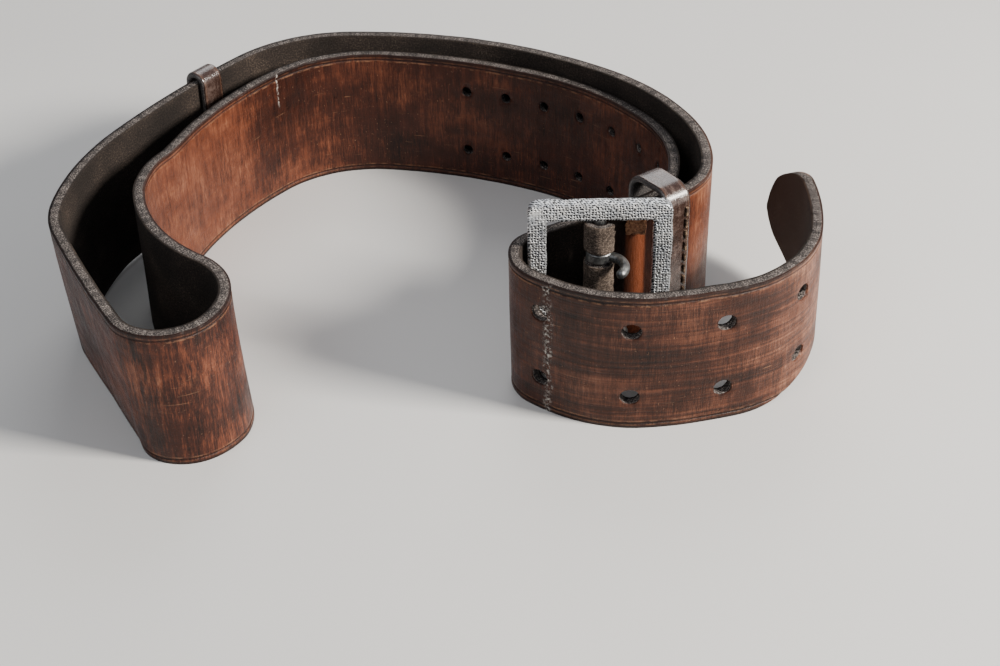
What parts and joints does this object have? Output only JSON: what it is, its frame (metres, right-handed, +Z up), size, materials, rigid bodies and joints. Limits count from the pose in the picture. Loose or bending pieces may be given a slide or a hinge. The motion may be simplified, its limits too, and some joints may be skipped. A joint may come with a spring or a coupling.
{
  "type": "leather belt",
  "caption": "Wide worn leather belt standing on edge, folded double, with an open two-prong centre-bar buckle, a fixed keeper and a sliding keeper.",
  "frame": {"origin": "centre of the footprint, on the surface that the belt stands on", "axes": "+Z up, across the strap's width; +X along the longest side, from the big fold to the tip; +Y from the buckle to the back of the loop"},
  "size_m": [0.2552, 0.1968, 0.0652],
  "materials": {
    "strap_leather": "worn waxed harness leather",
    "chape_leather": "rough, worn",
    "keeper_leather": "polished",
    "thread": "waxed thread",
    "staple_wire": "satin",
    "buckle_cast": "cast, pebbled",
    "prong_steel": "worn smooth"
  },
  "bodies": {
    "belt": {"chape_roll": "chape_leather", "chape_tab": "chape_leather", "fixed_keeper": "keeper_leather", "fixed_keeper_thread": "thread", "strap_behind_buckle": "strap_leather", "strap_big_fold": "strap_leather", "strap_chape": "strap_leather", "strap_front_curl": "strap_leather", "strap_inner_back": "strap_leather", "strap_inner_left": "strap_leather", "strap_inner_turn": "strap_leather", "strap_outer_back": "strap_leather", "strap_outer_corner": "strap_leather", "strap_outer_left": "strap_leather", "strap_outer_turn": "strap_leather", "strap_right_curl": "strap_leather", "strap_tight_bend": "strap_leather", "strap_tip": "strap_leather"},
    "buckle": {"buckle_frame": "buckle_cast", "buckle_centre_bar": "prong_steel"},
    "upper_prong": {"upper_prong": "prong_steel"},
    "lower_prong": {"lower_prong": "prong_steel"},
    "sliding_keeper": {"sliding_keeper": "keeper_leather", "sliding_keeper_staple": "staple_wire"}
  },
  "joints": [
    {"name": "buckle_pivot", "type": "hinge", "parent": "belt", "child": "buckle", "pos_m": [0.0531, -0.0507, 0], "axis": [0, 0, 1], "range_deg": [0, 14]},
    {"name": "upper_prong_pivot", "type": "hinge", "parent": "buckle", "child": "upper_prong", "pos_m": [0.0531, -0.0507, 0], "axis": [0, 0, 1], "range_deg": [-108, 28]},
    {"name": "lower_prong_pivot", "type": "hinge", "parent": "buckle", "child": "lower_prong", "pos_m": [0.0531, -0.0507, 0], "axis": [0, 0, 1], "range_deg": [-108, 28]},
    {"name": "sliding_keeper_travel", "type": "hinge", "parent": "belt", "child": "sliding_keeper", "pos_m": [0.17162, -0.12814, 0], "axis": [0, 0, 1], "range_deg": [-2.2, 7.6]}
  ]
}
